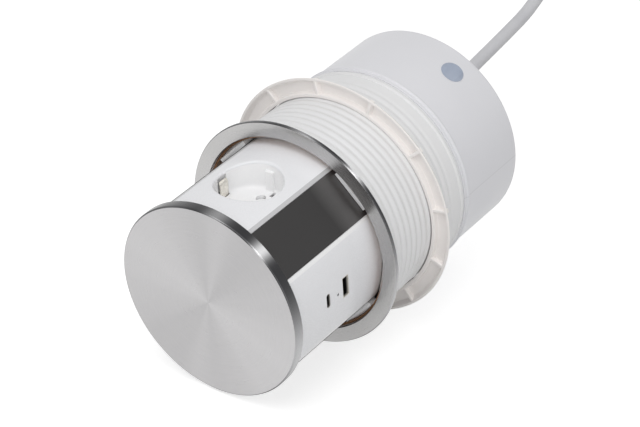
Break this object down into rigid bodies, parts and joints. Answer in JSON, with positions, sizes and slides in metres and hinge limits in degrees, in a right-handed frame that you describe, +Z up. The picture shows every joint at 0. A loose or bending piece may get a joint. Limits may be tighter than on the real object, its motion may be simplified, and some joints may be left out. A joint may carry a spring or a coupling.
{
  "type": "pop up desk socket",
  "caption": "Pop-up desk socket: an eight-sided column of mains sockets and USB ports that rises on a spring through a desk ring, clamped from below by a ribbed ring nut.",
  "frame": {"origin": "on the column's axis, at the desk top under the ring's flange", "axes": "+Z up the column's axis to the lid, +X out of the front mains socket, -Y out of the USB side"},
  "size_m": [0.153, 0.1724, 0.6293],
  "materials": {
    "brushed_steel": "brushed",
    "dark_steel": "satin",
    "white_plastic": "satin",
    "cream_plastic": "satin",
    "grey_plastic": "matte",
    "felt": "matte",
    "label": "satin",
    "bright_steel": "bright",
    "brass": "bright",
    "cord_sheath": "matte",
    "black_plastic": "matte",
    "board": "satin",
    "light_pipe": "gloss"
  },
  "bodies": {
    "housing": {"desk_ring": "brushed_steel", "threaded_sleeve": "white_plastic", "guide_collar": "white_plastic", "felt_ring": "felt", "lower_housing": "white_plastic", "label_disc": "label", "main_spring": "bright_steel", "touch_latch": "grey_plastic", "inner_lead": "cord_sheath", "cord_clamp": "grey_plastic", "clamp_screws": "bright_steel", "cord_gland": "cord_sheath", "cord_lead": "cord_sheath", "cord_coil": "cord_sheath", "cord_tie": "black_plastic", "plug_body": "cord_sheath", "plug_pins": "bright_steel", "plug_earth_strip": "bright_steel"},
    "column": {"lid_plate": "brushed_steel", "lid_core": "white_plastic", "lid_screws": "bright_steel", "column_frame": "grey_plastic", "column_foot": "white_plastic", "foot_screws": "bright_steel", "latch_strike": "bright_steel", "terminal_block": "white_plastic", "terminal_screws": "bright_steel", "corner_panel_fr": "dark_steel", "corner_panel_fl": "dark_steel", "corner_panel_bl": "dark_steel", "corner_panel_br": "dark_steel", "socket_front": "white_plastic", "earth_strap_front": "bright_steel", "socket_carrier_front": "grey_plastic", "contact_sleeves_front": "brass", "socket_back": "white_plastic", "earth_strap_back": "bright_steel", "socket_carrier_back": "grey_plastic", "contact_sleeves_back": "brass", "socket_left": "white_plastic", "earth_strap_left": "bright_steel", "socket_carrier_left": "grey_plastic", "contact_sleeves_left": "brass", "usb_plate": "white_plastic", "usb_board": "board", "usb_transformer": "black_plastic", "usb_screws": "bright_steel", "usb_a_shell": "bright_steel", "usb_a_tongue": "black_plastic", "usb_c_shell": "bright_steel", "usb_c_tongue": "black_plastic", "led_pipe": "light_pipe"},
    "ring_nut": {"ring_nut": "cream_plastic"},
    "latch_plunger": {"latch_plunger": "grey_plastic"},
    "shutter_front": {"shutter_front": "grey_plastic"},
    "shutter_back": {"shutter_back": "grey_plastic"},
    "shutter_left": {"shutter_left": "grey_plastic"}
  },
  "joints": [
    {"name": "column_slide", "type": "slide", "parent": "housing", "child": "column", "axis": [0, 0, 1], "range_m": [-0.0742, 0], "stiffness_N_per_m": 120, "springref_m": 0.15, "deforming": ["main_spring", "inner_lead"]},
    {"name": "nut_travel", "type": "slide", "parent": "housing", "child": "ring_nut", "axis": [0, 0, 1], "range_m": [-0.018, 0.038]},
    {"name": "latch_press", "type": "slide", "parent": "housing", "child": "latch_plunger", "axis": [0, 0, 1], "range_m": [-0.005, 0], "stiffness_N_per_m": 200, "springref_m": 0.004},
    {"name": "shutter_turn_front", "type": "hinge", "parent": "column", "child": "shutter_front", "pos_m": [0.033, 0, 0.0372], "axis": [1, 0, 0], "range_deg": [0, 40], "stiffness_Nm_per_rad": 0.004, "springref_deg": -17.19},
    {"name": "shutter_turn_back", "type": "hinge", "parent": "column", "child": "shutter_back", "pos_m": [-0.033, 0, 0.0372], "axis": [-1, 0, 0], "range_deg": [0, 40], "stiffness_Nm_per_rad": 0.004, "springref_deg": -17.19},
    {"name": "shutter_turn_left", "type": "hinge", "parent": "column", "child": "shutter_left", "pos_m": [0, 0.033, 0.0372], "axis": [0, 1, 0], "range_deg": [0, 40], "stiffness_Nm_per_rad": 0.004, "springref_deg": -17.19}
  ]
}
